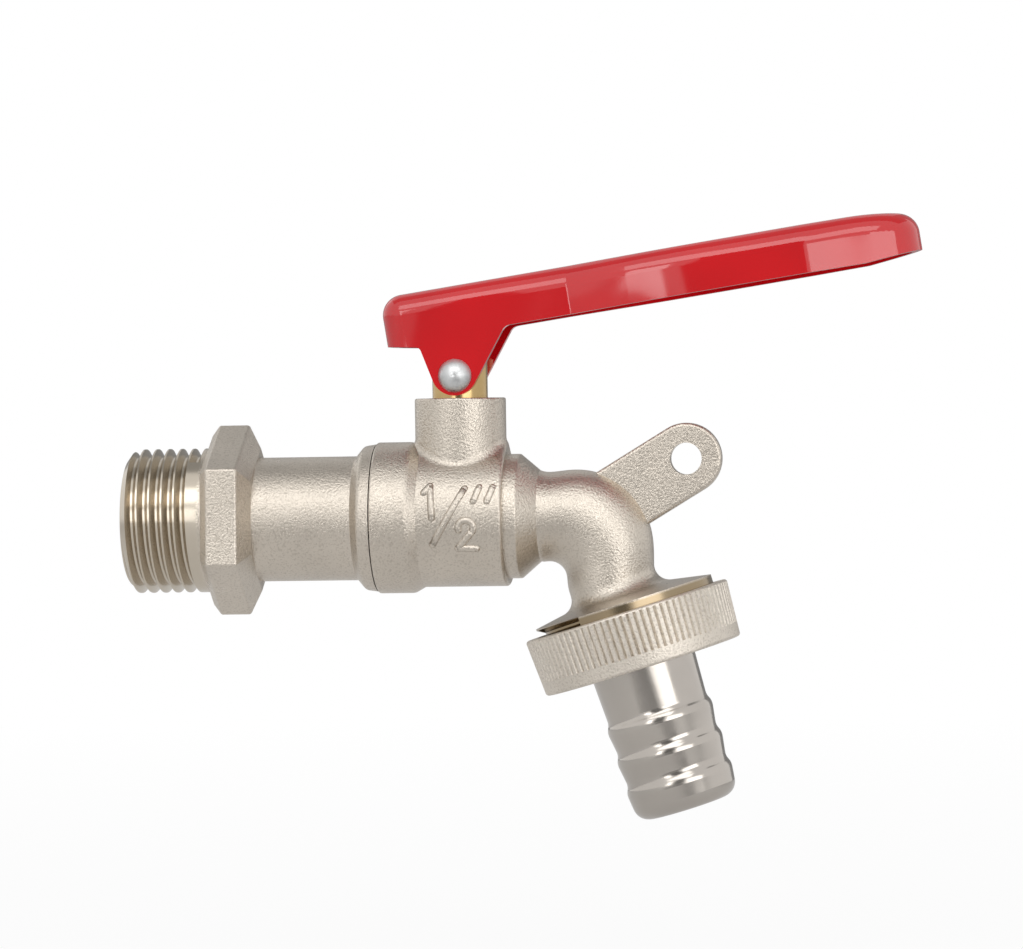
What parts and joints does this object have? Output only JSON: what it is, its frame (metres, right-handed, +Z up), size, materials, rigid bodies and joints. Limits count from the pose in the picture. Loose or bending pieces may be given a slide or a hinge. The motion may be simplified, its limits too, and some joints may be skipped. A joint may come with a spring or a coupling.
{
  "type": "lockable garden tap",
  "caption": "Half-inch ball-valve garden tap with a red channel lever that tips over a padlock lug, a slanted spout with a knurled union nut and a barbed hose tail.",
  "frame": {"origin": "on the inlet axis at the back of the hexagon, where the inlet thread ends", "axes": "+X along the inlet with the flow, +Z up along the stem, +Y to the back of the tap"},
  "size_m": [0.1156, 0.0304, 0.0865],
  "materials": {
    "body_nickel": "shot-blasted satin nickel plate",
    "connector_nickel": "satin nickel plate",
    "nut_nickel": "satin nickel plate, knurled",
    "tail_nickel": "bright nickel plate",
    "stem_brass": "turned brass",
    "ball_plate": "polished",
    "lever_red": "gloss coating",
    "rivet_zinc": "zinc plate",
    "seat_white": "matt",
    "seal_rubber": "matt"
  },
  "bodies": {
    "tap": {"valve_body": "body_nickel", "inlet_connector": "connector_nickel", "inlet_seat": "seat_white", "outlet_seat": "seat_white", "stem_thrust_washer": "seat_white"},
    "spindle": {"stem": "stem_brass", "ball": "ball_plate", "stem_oring_lower": "seal_rubber", "stem_oring_upper": "seal_rubber", "lever_rivet": "rivet_zinc"},
    "handle": {"lever": "lever_red"},
    "tail": {"hose_tail": "tail_nickel", "tail_washer": "seal_rubber"},
    "nut": {"union_nut": "nut_nickel"}
  },
  "joints": [
    {"name": "lever_turn", "type": "hinge", "parent": "tap", "child": "spindle", "pos_m": [0.03657, 0, 0], "axis": [0, 0, 1], "range_deg": [0, 90]},
    {"name": "lever_tilt", "type": "hinge", "parent": "spindle", "child": "handle", "pos_m": [0.03657, 0, 0.0204], "axis": [0, -1, 0], "range_deg": [-54.6, 51]},
    {"name": "union_slide", "type": "slide", "parent": "tap", "child": "tail", "axis": [0.2882, 0, -0.9576], "range_m": [0, 0.00363]},
    {"name": "nut_turn", "type": "hinge", "parent": "tail", "child": "nut", "pos_m": [0.06138, 0, -0.01781], "axis": [0.2882, 0, -0.9576], "range_deg": [0, 720]}
  ],
  "couplings": [
    {"joint": "union_slide", "follows": "nut_turn", "m_per_rad": 0.00028875}
  ]
}
